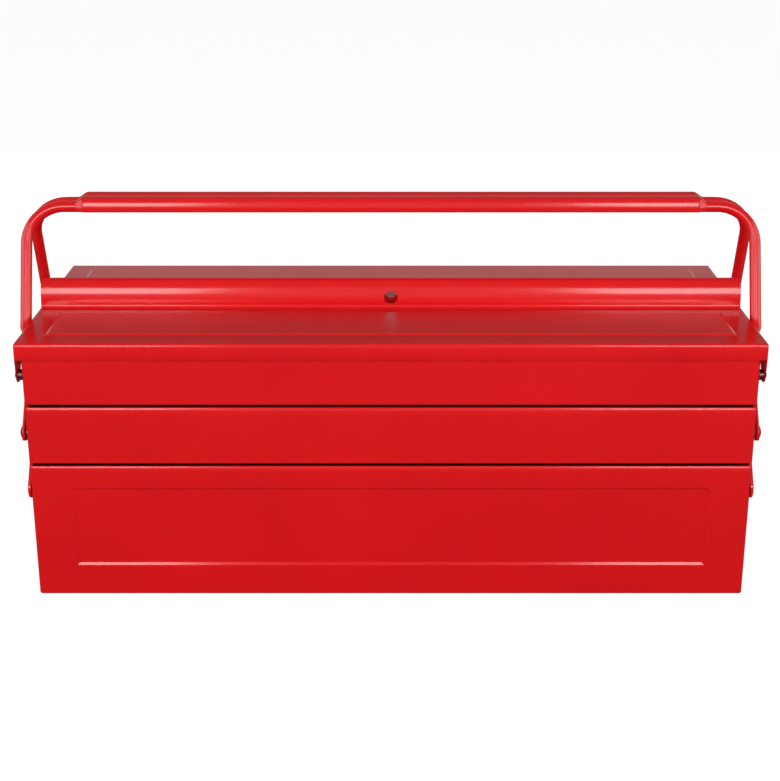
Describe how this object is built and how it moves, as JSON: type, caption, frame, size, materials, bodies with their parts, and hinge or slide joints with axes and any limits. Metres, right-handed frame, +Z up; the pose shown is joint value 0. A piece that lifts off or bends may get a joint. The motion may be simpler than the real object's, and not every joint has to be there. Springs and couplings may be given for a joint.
{
  "type": "cantilever tool box",
  "caption": "Folded sheet steel tool box whose half-width trays swing out on flat arms under two hinged lids, with two swing handles and a padlock bead.",
  "frame": {"origin": "middle of the base tray's underside, which is the surface that the box stands on", "axes": "+X along the box, -Y towards the front long side, +Z up"},
  "size_m": [0.5598, 0.215, 0.2841],
  "materials": {
    "red_paint": "glossy red enamel on folded sheet steel",
    "zinc_steel": "bright zinc plated steel"
  },
  "bodies": {
    "base": {"base_tray": "red_paint", "base_rivets": "red_paint", "base_washers": "zinc_steel"},
    "front_long_arms": {"front_long_arm_left": "red_paint", "front_long_arm_right": "red_paint"},
    "front_short_arms": {"front_short_arm_left": "red_paint", "front_short_arm_right": "red_paint"},
    "front_middle": {"front_middle_tray": "red_paint", "front_middle_rivets": "red_paint", "front_middle_washers": "zinc_steel", "front_middle_bushes": "zinc_steel"},
    "front_handle": {"front_handle_frame": "red_paint", "front_handle_grip": "red_paint"},
    "front_upper": {"front_upper_tray": "red_paint", "front_upper_rivets": "red_paint", "front_upper_washers": "zinc_steel", "front_upper_bushes": "zinc_steel", "front_hinge_rivets": "red_paint", "front_hinge_bushes": "zinc_steel"},
    "front_lid_body": {"front_lid": "red_paint", "front_lid_bead": "red_paint"},
    "rear_long_arms": {"rear_long_arm_left": "red_paint", "rear_long_arm_right": "red_paint"},
    "rear_short_arms": {"rear_short_arm_left": "red_paint", "rear_short_arm_right": "red_paint"},
    "rear_middle": {"rear_middle_tray": "red_paint", "rear_middle_rivets": "red_paint", "rear_middle_washers": "zinc_steel", "rear_middle_bushes": "zinc_steel"},
    "rear_handle": {"rear_handle_frame": "red_paint", "rear_handle_grip": "red_paint"},
    "rear_upper": {"rear_upper_tray": "red_paint", "rear_upper_rivets": "red_paint", "rear_upper_washers": "zinc_steel", "rear_upper_bushes": "zinc_steel", "rear_hinge_rivets": "red_paint", "rear_hinge_bushes": "zinc_steel"},
    "rear_lid_body": {"rear_lid": "red_paint", "rear_lid_lip": "red_paint"}
  },
  "joints": [
    {"name": "front_open", "type": "hinge", "parent": "base", "child": "front_long_arms", "pos_m": [0, -0.096, 0.084], "axis": [1, 0, 0], "range_deg": [0, 70]},
    {"name": "front_middle_turn", "type": "hinge", "parent": "front_long_arms", "child": "front_middle", "pos_m": [0, -0.06381, 0.1283], "axis": [1, 0, 0], "range_deg": [-70, 0]},
    {"name": "front_short_turn", "type": "hinge", "parent": "base", "child": "front_short_arms", "pos_m": [0, -0.066, 0.084], "axis": [1, 0, 0], "range_deg": [0, 70]},
    {"name": "front_handle_turn", "type": "hinge", "parent": "front_middle", "child": "front_handle", "pos_m": [0, -0.08481, 0.1233], "axis": [1, 0, 0], "range_deg": [0, 70]},
    {"name": "front_upper_turn", "type": "hinge", "parent": "front_handle", "child": "front_upper", "pos_m": [0, -0.04885, 0.1728], "axis": [1, 0, 0], "range_deg": [-70, 0]},
    {"name": "front_lid_hinge", "type": "hinge", "parent": "front_upper", "child": "front_lid_body", "pos_m": [0, -0.0995, 0.1735], "axis": [1, 0, 0], "range_deg": [0, 78]},
    {"name": "rear_open", "type": "hinge", "parent": "base", "child": "rear_long_arms", "pos_m": [0, 0.096, 0.084], "axis": [-1, 0, 0], "range_deg": [0, 70]},
    {"name": "rear_middle_turn", "type": "hinge", "parent": "rear_long_arms", "child": "rear_middle", "pos_m": [0, 0.06381, 0.1283], "axis": [-1, 0, 0], "range_deg": [-70, 0]},
    {"name": "rear_short_turn", "type": "hinge", "parent": "base", "child": "rear_short_arms", "pos_m": [0, 0.066, 0.084], "axis": [-1, 0, 0], "range_deg": [0, 70]},
    {"name": "rear_handle_turn", "type": "hinge", "parent": "rear_middle", "child": "rear_handle", "pos_m": [0, 0.08481, 0.1233], "axis": [-1, 0, 0], "range_deg": [0, 70]},
    {"name": "rear_upper_turn", "type": "hinge", "parent": "rear_handle", "child": "rear_upper", "pos_m": [0, 0.04885, 0.1728], "axis": [-1, 0, 0], "range_deg": [-70, 0]},
    {"name": "rear_lid_hinge", "type": "hinge", "parent": "rear_upper", "child": "rear_lid_body", "pos_m": [0, 0.0995, 0.1735], "axis": [-1, 0, 0], "range_deg": [0, 78]}
  ],
  "couplings": [
    {"joint": "front_middle_turn", "follows": "front_open", "ratio": -1},
    {"joint": "front_short_turn", "follows": "front_open", "ratio": 1},
    {"joint": "front_handle_turn", "follows": "front_open", "ratio": 1},
    {"joint": "front_upper_turn", "follows": "front_open", "ratio": -1},
    {"joint": "rear_middle_turn", "follows": "rear_open", "ratio": -1},
    {"joint": "rear_short_turn", "follows": "rear_open", "ratio": 1},
    {"joint": "rear_handle_turn", "follows": "rear_open", "ratio": 1},
    {"joint": "rear_upper_turn", "follows": "rear_open", "ratio": -1}
  ]
}
